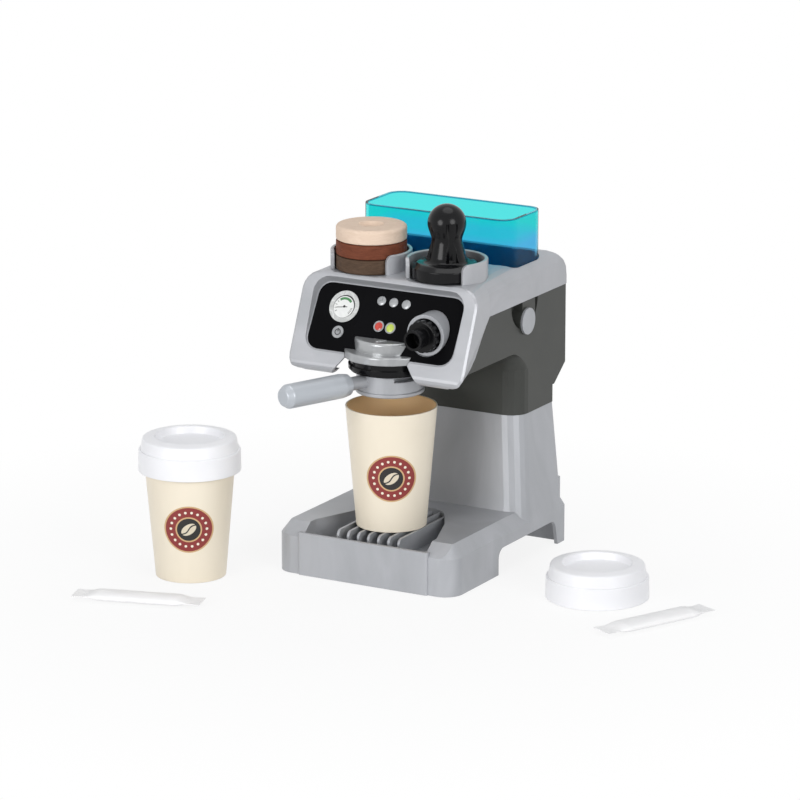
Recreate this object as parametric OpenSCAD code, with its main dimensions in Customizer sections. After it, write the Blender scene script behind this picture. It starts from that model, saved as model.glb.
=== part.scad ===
// Toy coffee maker with its pods, tamper, filter holder, cups, lids and sugar sachets.
// Millimetres. +Z up, +X to the right seen from the front, +Y to the back.
// The origin lies on the table, under the middle of the front wall.

/* [Base] */
// Width of the base at the table
base_w = 138; // [130:1:160]
// Depth of the base from the middle of the front wall to its back
base_d = 159.5; // [157:0.5:175]
// Height of the outer edge of the tray rim
rim_edge_z = 26; // [22:0.5:30]
// Height of the flat top of the tray rim
rim_top_z = 34.5; // [32:0.5:42]
// Height of the front lip between the corner posts
lip_z = 29.6; // [27:0.2:33]
// Radius of the front corner posts
post_r = 13; // [10:0.5:16]
// Width of the bevel along the sides of the rim
side_bevel = 6.5; // [3:0.5:10]
// Depth of the bevel on the front of the posts
front_bevel = 11; // [6:0.5:14]
// Wall thickness of the silver mouldings
wall = 2.4; // [1.8:0.1:3]
// Height of the arches between the feet
arch_z = 18; // [10:0.5:20]
// Length of the front feet along the sides
front_foot_l = 64; // [50:1:72]
// Length of the back feet along the sides
back_foot_l = 14; // [10:0.5:20]
// Height of the step at the back of the base
back_step_z = 46; // [40:1:60]

/* [Drip tray] */
// Half width of the tray basin at the lip
basin_front_x = 47; // [44:0.5:49]
// Half width of the tray basin beside the cup
basin_mid_x = 34; // [32:0.5:38]
// Distance from the front wall to the back of the basin
basin_back_y = 80; // [76:1:88]
// Height of the basin floor
basin_floor_z = 20; // [19.5:0.5:24]
// Number of fins in the drip grill
fin_count = 7; // [5:2:7]
// Distance from one fin to the next
fin_pitch = 7.8; // [6:0.1:8.2]
// Thickness of a fin
fin_t = 1.8; // [1.2:0.1:2.4]
// Height of the fins' top edge
fin_top_z = 33; // [31:0.2:34.4]
// Width of the bars that join the fins
bar_w = 3; // [2:0.5:5]

/* [Column] */
// Width of the column where it meets the black body
col_w = 125; // [116:1:126]
// Height of the joint between the column and the black body
col_top_z = 100.5; // [90:0.5:110]
// Distance from the front wall to the column's front at its foot
col_foot_y = 96; // [93:0.5:99]
// Distance from the front wall to the column's front at its top
col_top_y = 103; // [101:0.5:106]
// Distance from the front wall to the column's back at its top
col_back_y = 154; // [150:0.5:156]
// Radius of the column's front corners
col_r = 13; // [8:0.5:15]

/* [Head] */
// Width of the hood
hood_w = 127; // [126:0.5:132]
// Height of the head's underside
head_under_z = 146.5; // [144:0.5:148]
// Height of the seam between the hood and the black body
seam_z = 180; // [178:0.5:183]
// Height of the hood's top round the tank
hood_top_z = 206; // [204:0.5:212]
// Height of the hood's front edge above the panel
brow_z = 202.5; // [200:0.5:203.5]
// Distance from the front wall to the hood's back
hood_back_y = 170; // [166:1:180]
// Radius of the shoulders along the hood's top
shoulder_r = 13; // [10:1:16]
// Width of the mask, which flares out from the hood's sides
mask_w = 134; // [132.5:0.5:138]
// Height of the mask's bottom edge
mask_bottom_z = 138; // [136:0.5:139.5]
// Distance from the front wall to the mask's bottom edge
mask_foot_y = 12.4; // [11.4:0.2:13.4]
// Lean of the mask from upright
mask_tilt = 23; // [21:0.5:24]
// Height of the slope at the head's back, at its low end
back_slope_z = 112.6; // [110:0.5:118]
// Radius of the fillet between the column and the head's underside
throat_r = 15; // [8:0.5:18]
// Wall thickness of the black body
shell_wall = 2.4; // [1.8:0.1:3]

/* [Panel] */
// Width of the panel label
panel_w = 111; // [104:0.5:112]
// Height of the panel label along the slope
panel_h = 47; // [44:0.5:48]
// Radius of the panel label's corners
panel_r = 9; // [5:0.5:14]
// Thickness of the panel label
panel_t = 0.5; // [0.3:0.1:1]
// Height of the panel's centre above the table
panel_z = 173.7; // [172:0.1:175]
// Lean of the panel from upright, more than the mask's
panel_tilt = 30; // [28:0.5:31]
// How far the panel's centre lies behind the mask's front
panel_inset = 3.6; // [3:0.1:5]

/* [Brew group] */
// Distance from the front wall to the brew axis
brew_y = 37; // [36:0.5:38]
// Radius of the group head's lower disc
group_r = 30.5; // [28.5:0.1:31]
// Radius of the group head's upper disc
group_top_r = 23.7; // [20:0.1:23.8]
// Height of the group head's underside
group_z = 150.4; // [150:0.1:151]
// Thickness of the lower disc
group_low_t = 5.6; // [4:0.1:6.5]
// Thickness of the upper disc
group_high_t = 8; // [6:0.1:9]
// Outer radius of the black collar
collar_r = 26.5; // [25.8:0.1:26.8]
// Height of the collar
collar_h = 8.9; // [8.4:0.1:9]
// Radius of the lock ring's flange
ring_r = 24; // [23:0.1:24.2]
// Height of the lock ring
ring_h = 5.8; // [5:0.1:6]

/* [Filter holder] */
// Outer radius of the filter holder
holder_r = 22.5; // [21.6:0.1:23]
// Height of the filter holder's bottom above the table
holder_z = 126.3; // [126:0.1:128]
// Height of the holder from its bottom to its rim
holder_h = 14.2; // [12:0.1:14.6]
// Radius of the basket inside the holder
basket_r = 15.2; // [14:0.1:17.8]
// Angle of the handle to the left of straight ahead, in degrees
handle_angle = 22; // [15:1:30]
// Diameter of the grip
grip_d = 16.5; // [14:0.5:18]
// Length of the grip
grip_l = 54; // [40:1:70]

/* [Knob] */
// Distance from the middle to the knob's axis
knob_x = 35; // [34:0.5:36]
// Radius of the silver ring round the knob
ring_boss_r = 14; // [13:0.1:15]
// Diameter of the knob's wide part
knob_d = 22; // [17:0.5:22.5]
// Length of the knob's wide part
knob_l = 11; // [7:0.5:13]
// Diameter of the knob's tube
tube_d = 13.5; // [12:0.1:15]
// Length of the knob's tube
tube_l = 11; // [6:0.5:14]
// Diameter of the hole in the tube
tube_bore = 10.5; // [8:0.1:10.8]

/* [Wells] */
// Distance from the middle to each well's axis
well_x = 29; // [28.4:0.1:30]
// Distance from the front wall to the wells' axes
well_y = 63; // [61:0.5:65]
// Inner radius of the collar round a well
well_r = 25.2; // [24.6:0.1:25.6]
// Thickness of the collar round a well
well_wall = 2.5; // [2:0.1:2.7]
// Height of the collar above the well's floor
well_h = 14; // [9:0.5:17]
// Angle of the gap at the front of a well
well_gap = 102; // [90:1:110]
// Radius of the top corners beside the gap
well_corner_r = 5; // [2:0.5:7]
// Radius of a pod
pod_r = 24; // [20:0.1:24.2]
// Thickness of a pod
pod_t = 9.9; // [8:0.1:12]
// Radius of the tamper's foot
tamper_r = 24; // [21:0.1:24.2]
// Height of the tamper
tamper_h = 50.3; // [44:0.1:60]
// Radius of the ball on the tamper
tamper_ball_r = 13; // [10.5:0.1:14]
// Radius of the tamper's neck
tamper_neck_r = 9.9; // [8:0.1:10.4]

/* [Water tank] */
// Width of the water tank
tank_w = 116; // [90:1:116]
// Depth of the water tank from front to back
tank_d = 50; // [36:0.5:50]
// Height of the water tank
tank_h = 51; // [35:1:70]
// Distance from the front wall to the tank's middle
tank_y = 122; // [121.5:0.5:124]
// Wall thickness of the water tank
tank_wall = 1.8; // [1.2:0.1:2.4]
// Radius of the water tank's corners
tank_r = 11; // [6:0.5:14]
// How deep the tank sits in the hood
tank_sunk = 20; // [12:0.5:22]

/* [Side discs] */
// Diameter of the silver disc on each side
disc_d = 18.2; // [14:0.2:20]
// How far the disc stands out from the side
disc_out = 0.8; // [0.4:0.1:3]
// Radius of the pocket behind the disc
pocket_r = 19; // [16:0.5:20]
// Depth of the pocket
pocket_t = 7; // [5:0.5:9]

/* [Cups and lids] */
// Outer radius of a cup at its rim
cup_r = 31; // [28:0.5:33]
// Outer radius of a cup at its foot
cup_foot_r = 23.8; // [20:0.2:26]
// Height of a cup
cup_h = 82.8; // [60:0.2:84]
// Wall thickness of a cup
cup_wall = 1.2; // [1:0.1:1.6]
// Radius of a lid's skirt
lid_r = 34.7; // [34:0.1:37]
// Height of a lid
lid_h = 23.4; // [20:0.2:28]
// Height of the ledge in a lid that rests on the cup's rim
lid_skirt_h = 9.6; // [7:0.1:10]
// Wall thickness of a lid
lid_wall = 1.2; // [1:0.1:1.6]

/* [Sachets] */
// Length of a sugar sachet
sachet_l = 88; // [60:1:100]
// Width of a sugar sachet
sachet_w = 20; // [14:0.5:26]
// Thickness of a sugar sachet
sachet_t = 5; // [3:0.1:7]
// Length of the crimp at each end of a sachet
crimp_l = 6; // [4:0.5:9]

/* [Hidden] */
$fn = 64;

// Clearance between pieces that part or slide
gap = 0.3;
// Clearance between fixed pieces
fit = 0.2;
// Radial clearance of the knob's shaft
run = 0.08;
// Play between pieces that seat on each other
seat = 0.05;
// Overlap that keeps cuts and joins clean
eps = 0.5;
// Steps in the arc of a rounded corner
arc_n = 5;
silver = [0.70, 0.71, 0.73];
black = [0.10, 0.10, 0.11];
cream = [0.93, 0.89, 0.82];
clear_white = [0.93, 0.94, 0.95];

base_x = base_w / 2;
front_y = -wall / 2;
post_front_y = front_y + 1.5;
post_y = post_front_y + post_r;
post_x = base_x - post_r;
basin_waist_y = 52;
basin_tail_x = 18;
fin_front_y = wall / 2 + 6;
// Distances from the front wall to the bars that join the fins
bar_y = [fin_front_y + 11, basin_back_y - 20];
col_x = col_w / 2;
hood_x = hood_w / 2;
body_inset = 0.5;
body_x = hood_x - body_inset;
col_rear_r = 3;
// Plans of the column at the rim edge and at its top: [half width, front, back]
col_foot = [base_x - 0.01, col_foot_y, col_back_y + 2];
col_head = [col_x, col_top_y, col_back_y];
plate_t = 2.4;
sleeve_h = 5;
sleeve_t = 1.6;

// Corner points of the seam between the mask and the black body, from below: [y, z]
mask_seam = [[30, head_under_z], [40.5, head_under_z + 9.5], [55, seam_z - 5], [60, seam_z]];
mask_x = mask_w / 2;
mask_foot_r = 12;
mask_edge_r = 1.5;
mask_lip_y = 24;
// Opening in the mask's bottom edge for the brew group
mouth_low_x = 35;
mouth_top_x = 23;
mouth_top_z = group_z + 1.4;
back_slope_h = 12.4;
// Where the slope behind the mask's top edge reaches the hood's full height
slope_end_y = tank_y - tank_d / 2 - wall;
back_top_r = 20;

panel_y = mask_y(panel_z) + panel_inset;
panel_frame = 2;
// The sunk panel's walls spread by panel_draft over the depth panel_deep
panel_deep = 14;
panel_draft = 3.5;

brew = [0, brew_y, 0];
group_top_z = group_z + group_low_t;
collar_z = group_z - collar_h - seat;
collar_lip_r = collar_r + 1.5;
collar_lip_h = 3.2;
// Outer radius of the land round the collar, clear of the group head's screw bosses
land_r = collar_r + gap + 2;
ring_z = collar_z + gap;
ring_flange_h = 2.6;
ring_body_r = ring_r - 2;
spigot_wall = 2;
spigot_r = basket_r + spigot_wall;
ring_bore_r = spigot_r + gap;
spigot_top_z = min(ring_z + ring_h, head_under_z) - 0.6;
key_w = 3.4;
key_t = 1.3;
holder_rim_z = holder_z + holder_h;
grip_r = grip_d / 2;
grip_z = holder_rim_z - 4.4;
neck_r = 4.6;
grip_start = holder_r + 13.5;
grip_pin_r = 3;
grip_pin_l = 14;
tab_x = 18;
tab_t = 3.6;

knob_y = panel_y;
knob_drop = 2.1;
ring_front_y = knob_y - 8;
ring_back_y = knob_y + 7;
ring_bowl_r = ring_boss_r - 2.4;
ring_bowl_t = 5;
ring_web_t = 3.4;
shaft_r = 4;
knob_seat_y = ring_front_y + ring_bowl_t - gap;
knob_back_y = ring_front_y + ring_bowl_t + ring_web_t + gap;

well_floor_z = brow_z - 0.5;
well_out_r = well_r + well_wall;
tank_z = hood_top_z - tank_sunk;
tank_play = 0.6;

side_y = 112;
disc_z = seam_z - 14;
pocket_y = side_y - 2;
tab_w = 20;
disc_t = 1.6;

screw_r = 1.5;
head_r = 2.8;
head_t = 2;
boss_r = 4;
screw_l = 10;
// How far the screws of the base and the hood's front stand in from the sides
screw_in = 11;
// The same for the hood's back screws, which stand behind the tank's pocket
back_screw_in = 22;
// Plane that the heads of the hood's back screws bear on, and the height above it
back_seat_z = back_slope_z + 38;
back_seat_t = 4;
// Screws: places of the axes [x, y]
base_screw_xy = [for (sx = [-1, 1], y = [col_top_y + screw_in, col_back_y - screw_in])
                 [sx * (body_x - screw_in), y]];
hood_front_xy = [for (sx = [-1, 1]) [sx * (body_x - screw_in), mask_seam[3][0] + 2 * boss_r]];
hood_back_xy = [for (sx = [-1, 1])
                [sx * (body_x - back_screw_in), (tank_y + tank_d / 2 + tank_play + hood_back_y) / 2]];
group_screw_xy = [for (sx = [-1, 1]) [sx * screw_in, brew_y + collar_lip_r + head_r + 1]];
tab_y = group_screw_xy[0].y + boss_r + 1;

cup_slot = [-114.4, -34];
lid_spot = [148, 56];
lid_seat_z = cup_h - lid_skirt_h + gap;
sachet_spots = [[-110, -107, 16.3], [209.6, 18.6, 64.9]];

// y of the mask's front plane at height z
function mask_y(z) = mask_foot_y + (z - mask_bottom_z) * tan(mask_tilt);
// y where the mask's flared sides end: at the seam, and straight up above it
function flare_y(z) =
    let (low = mask_seam[0], high = mask_seam[3])
    z >= seam_z ? high[0] : low[0] + (z - low[1]) * (high[0] - low[0]) / (high[1] - low[1]);
// Height of the hood's top at the distance y from the front wall
function top_z(y) =
    hood_top_z - max(0, slope_end_y - y) * (hood_top_z - brow_z) / (slope_end_y - mask_y(brow_z));
function unit(v) = v / norm(v);
function turned(v, a) = [v.x * cos(a) - v.y * sin(a), v.x * sin(a) + v.y * cos(a)];

// Points of the arc of radius r that rounds the corner b between a and c
function corner_arc(a, b, c, r) =
    r == 0 ? [b] :
    let (u = unit(a - b), v = unit(c - b),
         half = acos(u * v) / 2,
         mid = b + unit(u + v) * r / sin(half),
         from = b + u * r / tan(half) - mid,
         way = u.x * v.y - u.y * v.x > 0 ? -1 : 1,
         sweep = way * (180 - 2 * half))
    [for (i = [0:arc_n]) mid + turned(from, sweep * i / arc_n)];

// A closed outline with each corner rounded by its own radius
function rounded(p, r) =
    let (n = len(p))
    [for (i = [0:n - 1]) each corner_arc(p[(i + n - 1) % n], p[i], p[(i + 1) % n], r[i])];

function box_points(x0, y0, x1, y1) = [[x0, y0], [x1, y0], [x1, y1], [x0, y1]];

// Plan of the column: half width, front y, back y, front radius, back radius
function col_points(x, y0, y1, r0, r1) = rounded(box_points(-x, y0, x, y1), [r0, r0, r1, r1]);

// Extrudes an outline in (y, z) across the width, centred on x = 0
module across(w) {
    translate([-w / 2, 0, 0]) rotate([90, 0, 90]) linear_extrude(w) children();
}

// Extrudes an outline in (x, z) from y0 back to y1
module back_to(y0, y1) {
    translate([0, y1, 0]) rotate([90, 0, 0]) linear_extrude(y1 - y0) children();
}

// Puts its children on the panel: x to the right, y up the slope, z out of the panel
module on_panel() {
    translate([0, panel_y, panel_z]) rotate([90 - panel_tilt, 0, 0]) children();
}

// Puts its children on the knob's axis: z points out to the front from y
module on_knob(y) {
    translate([knob_x, y, panel_z - knob_drop]) rotate([90, 0, 0]) children();
}

module panel_outline(w, h, r) {
    polygon(rounded(box_points(-w / 2, -h / 2, w / 2, h / 2), [r, r, r, r]));
}

module tube(r_out, r_in, h) {
    difference() {
        cylinder(r = r_out, h = h);
        translate([0, 0, -eps]) cylinder(r = r_in, h = h + 2 * eps);
    }
}

// Cross-section of the base in (x, z), inset by i, as high as the rim
module rim_section(i) {
    polygon([[-base_x + i, -eps * sign(i)], [base_x - i, -eps * sign(i)], [base_x - i, rim_edge_z - i / 2],
             [base_x - side_bevel - i / 2, rim_top_z - i],
             [-base_x + side_bevel + i / 2, rim_top_z - i], [-base_x + i, rim_edge_z - i / 2]]);
}

module front_post(sx, i) {
    translate([sx * post_x, post_y, 0])
        rotate_extrude()
            polygon([[0, -eps * sign(i)], [post_r - i, -eps * sign(i)], [post_r - i, rim_edge_z - i / 2],
                     [post_r - side_bevel - i / 2, rim_top_z - i], [0, rim_top_z - i]]);
}

// The front of the rim in (y, z): upright wall, then the long bevel
module front_section(i) {
    polygon([[post_front_y + i, -eps * sign(i)], [post_front_y + i, rim_edge_z - i / 2],
             [post_front_y + front_bevel + i / 2, rim_top_z - i],
             [post_y + front_bevel, rim_top_z - i], [post_y + front_bevel, -eps * sign(i)]]);
}

module rim_form(i) {
    back_to(post_y + front_bevel - eps, base_d - i) rim_section(i);
    intersection() {
        union() {
            for (sx = [-1, 1]) front_post(sx, i);
            back_to(post_y, post_y + front_bevel) rim_section(i);
            across(2 * post_x) front_section(i);
        }
        across(base_w) front_section(i);
    }
}

module col_loft(i, z1) {
    hull() {
        translate([0, 0, rim_edge_z])
            linear_extrude(0.01)
                polygon(col_points(col_foot[0] - i, col_foot[1] + i, col_foot[2] - i, col_r - i, col_rear_r));
        translate([0, 0, z1])
            linear_extrude(0.01)
                polygon(col_points(col_head[0] - i, col_head[1] + i, col_head[2] - i, col_r - i, col_rear_r));
    }
}

module back_step(i) {
    translate([0, 0, -eps * sign(i)])
        linear_extrude(back_step_z - i)
            polygon(rounded(box_points(-base_x + 2 + i, col_foot_y + 30, base_x - 2 - i, base_d - i), [0, 0, 4, 4]));
}

module basin_points_at(g) {
    polygon(rounded([[-basin_front_x - g, wall / 2 - g], [basin_front_x + g, wall / 2 - g],
                     [basin_front_x + g, post_y + 4], [basin_mid_x + g, basin_waist_y],
                     [basin_tail_x, basin_back_y + g], [-basin_tail_x, basin_back_y + g],
                     [-basin_mid_x - g, basin_waist_y], [-basin_front_x - g, post_y + 4]],
                    [1, 1, 8, 12, 16, 16, 12, 8]));
}

// Arch between the feet in (y, z), cut through both sides
module arch_section() {
    y0 = front_foot_l;
    y1 = base_d - back_foot_l;
    polygon(rounded([[y0, -eps], [y0, arch_z], [y1, arch_z], [y1 + 4, -eps]], [0, 7, 7, 0]));
}

module sleeve_plan(i) {
    polygon(col_points(body_x - i, col_top_y + i, col_back_y - i, col_r - i, col_rear_r));
}

module base() {
    color(silver)
    difference() {
        union() {
            difference() {
                union() {
                    rim_form(0);
                    col_loft(0, col_top_z - 0.01);
                    intersection() {
                        back_step(0);
                        back_to(0, base_d + eps) polygon([[-base_x, 0], [base_x, 0], [base_x, rim_edge_z],
                            [col_x, col_top_z], [-col_x, col_top_z], [-base_x, rim_edge_z]]);
                    }
                }
                rim_form(wall);
                col_loft(wall, col_top_z - plate_t);
                translate([0, 0, -col_top_z]) linear_extrude(col_top_z + rim_edge_z + eps)
                    polygon(col_points(base_x - side_bevel - wall, col_foot_y + wall, col_back_y - wall, col_r, 1));
                translate([0, 0, rim_edge_z]) linear_extrude(back_step_z - rim_edge_z - wall)
                    polygon(box_points(-col_x + wall, col_foot_y + 30, col_x - wall, base_d - wall));
            }
            // Front wall with its lip
            linear_extrude(lip_z)
                polygon(rounded(box_points(-basin_front_x - 3, front_y, basin_front_x + 3, post_front_y + wall),
                                [1.5, 1.5, 0, 0]));
            // Tub under the drip grill
            intersection() {
                translate([0, 0, basin_floor_z - wall]) linear_extrude(rim_top_z - basin_floor_z + wall - eps)
                    basin_points_at(wall);
                union() {
                    back_to(post_y, base_d) rim_section(0);
                    across(2 * (basin_front_x + 3)) front_section(0);
                }
            }
            // Sleeve that enters the black body
            translate([0, 0, col_top_z - plate_t]) linear_extrude(plate_t + sleeve_h) difference() {
                sleeve_plan(shell_wall + fit);
                sleeve_plan(shell_wall + fit + sleeve_t);
            }
        }
        translate([0, 0, basin_floor_z]) linear_extrude(rim_top_z) basin_points_at(0);
        // The lip is lower than the posts
        translate([-basin_front_x, front_y - eps, lip_z]) cube([2 * basin_front_x, post_y, rim_top_z]);
        across(base_w + 2) arch_section();
        for (p = base_screw_xy) translate([p.x, p.y, col_top_z - plate_t - eps]) cylinder(r = screw_r + fit, h = 9);
    }
}

module fin() {
    across(fin_t)
        polygon(rounded([[fin_front_y, basin_floor_z], [fin_front_y, fin_top_z],
                         [basin_back_y, fin_top_z], [basin_back_y, basin_floor_z]], [0, 4, 2, 0]));
}

module drip_grill() {
    color(silver)
    intersection() {
        union() {
            for (i = [0:fin_count - 1]) translate([(i - (fin_count - 1) / 2) * fin_pitch, 0, 0]) fin();
            for (y = bar_y)
                translate([-(fin_count - 1) / 2 * fin_pitch, y, basin_floor_z])
                    cube([(fin_count - 1) * fin_pitch, bar_w, 6]);
        }
        translate([0, 0, basin_floor_z]) linear_extrude(rim_top_z) basin_points_at(-gap);
    }
}

// The black body: column part and head part, inset by i
module body_form(i) {
    z0 = col_top_z - (i > 0 ? eps : 0);
    translate([0, 0, z0]) linear_extrude(head_under_z + shell_wall + eps - z0)
        sleeve_plan(i);
    across(2 * (body_x - i))
        polygon(concat([for (p = mask_seam) [p[0] - (i > 0 ? eps : 0), max(p[1], head_under_z + i)]],
                       [[mask_seam[3][0], seam_z + (i > 0 ? eps : 0)], [hood_back_y - i, seam_z + (i > 0 ? eps : 0)],
                        [hood_back_y - i, back_slope_z + back_slope_h + i / 2], [col_back_y - i, back_slope_z + i / 2],
                        [col_top_y + 25, back_slope_z + i / 2], [col_top_y + 25, head_under_z + i]]));
}

// Hollow fillet that leads the column's front into the head's underside
module throat() {
    z1 = head_under_z + eps;
    z0 = head_under_z - throat_r;
    y1 = col_top_y - throat_r;
    intersection() {
        union() {
            across(2 * (body_x - col_r))
                difference() {
                    polygon(box_points(y1, z0, col_top_y + 1, z1));
                    translate([y1, z0]) circle(throat_r);
                }
            for (sx = [-1, 1])
                translate([sx * (body_x - col_r), col_top_y + col_r, 0])
                    rotate_extrude()
                        difference() {
                            polygon(box_points(col_r - 1, z0, col_r + throat_r, z1));
                            translate([col_r + throat_r, z0]) circle(throat_r);
                        }
        }
        translate([-body_x, 0, 0]) cube([2 * body_x, col_top_y + col_r, seam_z]);
    }
}

module side_pocket(sx) {
    translate([sx * body_x, pocket_y, seam_z]) rotate([0, 90, 0])
        translate([0, 0, -pocket_t]) cylinder(r = pocket_r, h = 2 * pocket_t);
}

// Block behind the disc and the barrel that carries it
module side_mount(sx) {
    depth = pocket_t + shell_wall;
    x0 = sx > 0 ? body_x - depth : -body_x;
    translate([x0, side_y - tab_w / 2 + 5, disc_z]) cube([depth, tab_w - 2, seam_z - disc_z - gap]);
    translate([sx * (body_x - depth / 2 + disc_out / 2), side_y, disc_z]) rotate([0, 90, 0])
        cylinder(d = disc_d + 0.8, h = depth + disc_out, center = true);
}

module body_shell() {
    color(black)
    difference() {
        union() {
            difference() {
                union() {
                    body_form(0);
                    throat();
                }
                body_form(shell_wall);
            }
            // Land under the group head
            intersection() {
                translate(brew + [0, 0, head_under_z + shell_wall - eps])
                    tube(land_r, collar_r + gap, group_z - head_under_z - shell_wall + eps - seat);
                translate([-body_x, mask_seam[0][0] + 4, 0]) cube([2 * body_x, hood_back_y, seam_z]);
            }
            for (sx = [-1, 1]) intersection() {
                translate([sx * body_x, pocket_y, seam_z]) rotate([0, 90, 0])
                    translate([0, 0, sx > 0 ? -pocket_t - shell_wall : 0])
                        cylinder(r = pocket_r + shell_wall, h = pocket_t + shell_wall);
                translate([-body_x, 0, 0]) cube([2 * body_x, hood_back_y, seam_z]);
            }
            for (p = base_screw_xy) translate([p.x, p.y, col_top_z]) cylinder(r = boss_r, h = screw_l + 2);
            for (p = base_screw_xy)
                translate([p.x > 0 ? p.x : -body_x + 1, p.y - 1, col_top_z + sleeve_h + 1])
                    cube([body_x - 1 - abs(p.x), 2, screw_l - sleeve_h + 1]);
            intersection() {
                for (p = hood_back_xy)
                    translate([p.x, p.y, back_slope_z])
                        cylinder(r = boss_r + 2, h = back_seat_z + back_seat_t - back_slope_z);
                body_form(1);
            }
        }
        translate(brew + [0, 0, head_under_z - 2]) cylinder(r = collar_r + gap, h = 9);
        for (sx = [-1, 1]) side_pocket(sx);
        for (p = base_screw_xy) translate([p.x, p.y, col_top_z - eps]) cylinder(r = screw_r, h = screw_l + eps);
        for (p = hood_front_xy) translate([p.x, p.y, head_under_z - eps]) cylinder(r = screw_r + fit, h = 5);
        for (p = hood_back_xy) translate([p.x, p.y, back_slope_z]) {
            cylinder(r = head_r + 0.6, h = back_seat_z - back_slope_z);
            cylinder(r = screw_r + fit, h = back_seat_z + back_seat_t - back_slope_z + eps);
        }
        for (p = group_screw_xy) translate([p.x, p.y, head_under_z - eps]) cylinder(r = screw_r + fit, h = 5);
    }
    color(black) for (sx = [-1, 1]) side_mount(sx);
}

// Side outline of the hood in (y, z)
module hood_side(i) {
    lean = i / cos(mask_tilt);
    top = [[mask_y(brow_z - i) + lean, brow_z - i], [slope_end_y, hood_top_z - i], [hood_back_y - i, hood_top_z - i]];
    polygon(rounded(
        i == 0
        ? concat([[mask_y(mask_bottom_z), mask_bottom_z]], top, [[hood_back_y, seam_z]],
                 [for (k = [3:-1:0]) mask_seam[k] - [gap, 0]], [[mask_lip_y, mask_bottom_z]])
        : concat([[mask_y(mask_bottom_z + i) + lean, mask_bottom_z + i]], top, [[hood_back_y - i, mask_bottom_z + i]]),
        i == 0 ? [5, 4, 0, back_top_r, 0, 0, 0, 0, 0, 2] : [3, 2, 0, back_top_r - i, 0]));
}

// The hood between its straight sides, inset by i
module hood_form(i) {
    r0 = mask_foot_r - i;
    r1 = shoulder_r - i;
    intersection() {
        across(mask_w) hood_side(i);
        hull() for (y = [-eps, slope_end_y, hood_back_y]) back_to(y, y + eps)
            polygon(rounded(box_points(-hood_x + i, mask_bottom_z + i - seat, hood_x - i, top_z(y) - i + seat),
                            [r0, r0, r1, r1]));
    }
}

// The mask, flaring forward from the hood's sides
module mask_flare() {
    slope_l = (brow_z - mask_bottom_z) / cos(mask_tilt);
    low_z = mask_bottom_z + mask_foot_r;
    end_y = mask_seam[3][0];
    intersection() {
        across(mask_w + 2) hood_side(0);
        hull() {
            translate([0, mask_foot_y, mask_bottom_z]) rotate([90 - mask_tilt, 0, 0])
                for (e = [0, mask_edge_r]) translate([0, 0, e - mask_edge_r]) linear_extrude(0.01)
                    polygon(rounded(box_points(-mask_x + e, e, mask_x - e, slope_l - e),
                                    [mask_foot_r - e, mask_foot_r - e, shoulder_r - e, shoulder_r - e]));
            translate([-hood_x, flare_y(low_z), low_z]) cube([hood_w, 0.01, 0.01]);
            back_to(end_y - 0.01, end_y)
                polygon(rounded(box_points(-hood_x, seam_z, hood_x, top_z(end_y) + seat),
                                [0, 0, shoulder_r, shoulder_r]));
        }
    }
}

// Upper corner of a collar's end, cut to a quarter circle that crosses the end and the top
function end_corner(s, r, h) =
    let (x = r + fit / 2, z = h - r + fit / 2)
    concat([[-s, z], [-s, h + 1], [s * x, h + 1]],
           [for (k = [0:arc_n]) [s * (x - r * sin(90 * k / arc_n)), z + r * cos(90 * k / arc_n)]]);

// Raised collar round a well, open to the front
module well_collar(sx) {
    half = well_gap / 2;
    color(silver)
    translate([sx * well_x, well_y, well_floor_z + seat])
        difference() {
            rotate([0, 0, half - 90]) rotate_extrude(angle = 360 - well_gap)
                polygon(rounded(box_points(well_r, 0, well_out_r, well_h), [0, 0, 0.9, 0.9]));
            for (s = [-1, 1]) rotate([0, 0, s * half]) back_to(-well_out_r - 1, 3 - well_r)
                polygon(end_corner(s, well_corner_r, well_h));
        }
}

// Space taken by the group head and the collar, with clearance
module group_space() {
    translate(brew) {
        translate([0, 0, mask_bottom_z - 2]) cylinder(r = group_r + fit, h = group_top_z + fit - mask_bottom_z + 2);
        translate([0, 0, group_z]) cylinder(r = group_top_r + fit, h = group_low_t + group_high_t + fit);
    }
}

module mouth() {
    back_to(-eps, mask_lip_y + 12)
        polygon(rounded([[-mouth_low_x, mask_bottom_z - 1], [mouth_low_x, mask_bottom_z - 1],
                         [mouth_top_x, mouth_top_z], [-mouth_top_x, mouth_top_z]], [0, 0, 4, 4]));
}

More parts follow.
